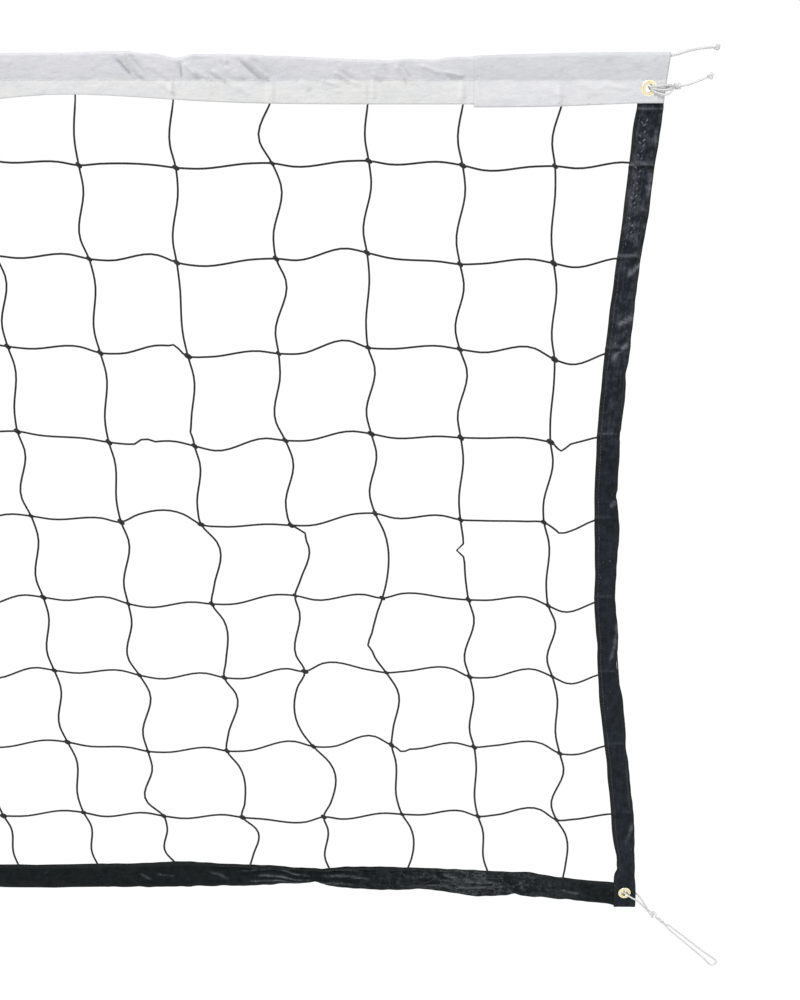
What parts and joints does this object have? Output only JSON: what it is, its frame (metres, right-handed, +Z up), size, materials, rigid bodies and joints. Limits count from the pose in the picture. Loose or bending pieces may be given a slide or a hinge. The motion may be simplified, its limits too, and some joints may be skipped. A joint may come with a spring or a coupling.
{
  "type": "volleyball net",
  "caption": "Long knotted net in a white headband and black tapes, hung on a head rope and tied through brass eyelets.",
  "frame": {"origin": "on the head rope, half way along the net, where the rope carries it", "axes": "+X along the net to the right as seen from the front, +Z up, the front faces -Y"},
  "size_m": [10.0782, 0.0124, 1.1701],
  "materials": {
    "head_rope_cord": "laid, matt",
    "tie_cord": "twisted, slightly glossy",
    "headband_vinyl": "coated cloth, soft sheen",
    "patch_vinyl": "coated cloth, soft sheen",
    "pale_thread": "matt",
    "dark_thread": "matt",
    "twine": "twisted, matt",
    "side_webbing": "woven, dull",
    "bottom_webbing": "woven, dull",
    "brass": "polished",
    "brass_washer": "polished"
  },
  "bodies": {
    "head_rope": {"head_rope": "head_rope_cord", "head_rope_right": "head_rope_cord", "head_rope_left": "head_rope_cord", "head_knot_right": "head_rope_cord", "head_knot_left": "head_rope_cord"},
    "net": {"headband": "headband_vinyl", "headband_stitching": "pale_thread", "end_patch_right": "patch_vinyl", "end_patch_left": "patch_vinyl", "patch_stitching_right": "pale_thread", "patch_stitching_left": "pale_thread", "net_mesh": "twine", "side_tape_right": "side_webbing", "side_tape_left": "side_webbing", "side_stitching_right": "dark_thread", "side_stitching_left": "dark_thread", "bottom_tape": "bottom_webbing", "bottom_stitching": "dark_thread", "eyelet_top_right": "brass", "eyelet_top_left": "brass", "eyelet_bottom_right": "brass", "eyelet_bottom_left": "brass", "washer_top_right": "brass_washer", "washer_top_left": "brass_washer", "washer_bottom_right": "brass_washer", "washer_bottom_left": "brass_washer"},
    "tie_top_right": {"tie_top_right_loop": "tie_cord", "tie_top_right_hitch": "tie_cord", "tie_top_right_tail": "tie_cord", "tie_top_right_knot": "tie_cord"},
    "tie_top_left": {"tie_top_left_loop": "tie_cord", "tie_top_left_hitch": "tie_cord", "tie_top_left_tail": "tie_cord", "tie_top_left_knot": "tie_cord"},
    "tie_bottom_right": {"tie_bottom_right_loop": "tie_cord", "tie_bottom_right_knot": "tie_cord", "tie_bottom_right_tail": "tie_cord"},
    "tie_bottom_left": {"tie_bottom_left_loop": "tie_cord", "tie_bottom_left_knot": "tie_cord", "tie_bottom_left_tail": "tie_cord"}
  },
  "joints": [
    {"name": "net_swing", "type": "hinge", "parent": "head_rope", "child": "net", "pos_m": [0, 0, 0], "axis": [1, 0, 0], "range_deg": [-90, 90]},
    {"name": "top_tie_swing_right", "type": "hinge", "parent": "net", "child": "tie_top_right", "pos_m": [4.8673, 0, -0.032], "axis": [0, 1, 0], "range_deg": [-12, 31]},
    {"name": "top_tie_swing_left", "type": "hinge", "parent": "net", "child": "tie_top_left", "pos_m": [-4.8673, 0, -0.032], "axis": [0, -1, 0], "range_deg": [-12, 31]},
    {"name": "bottom_tie_swing_right", "type": "hinge", "parent": "net", "child": "tie_bottom_right", "pos_m": [4.90582, 0, -1.0375], "axis": [0, 1, 0], "range_deg": [-42, 48]},
    {"name": "bottom_tie_swing_left", "type": "hinge", "parent": "net", "child": "tie_bottom_left", "pos_m": [-4.90582, 0, -1.0375], "axis": [0, -1, 0], "range_deg": [-42, 48]}
  ]
}
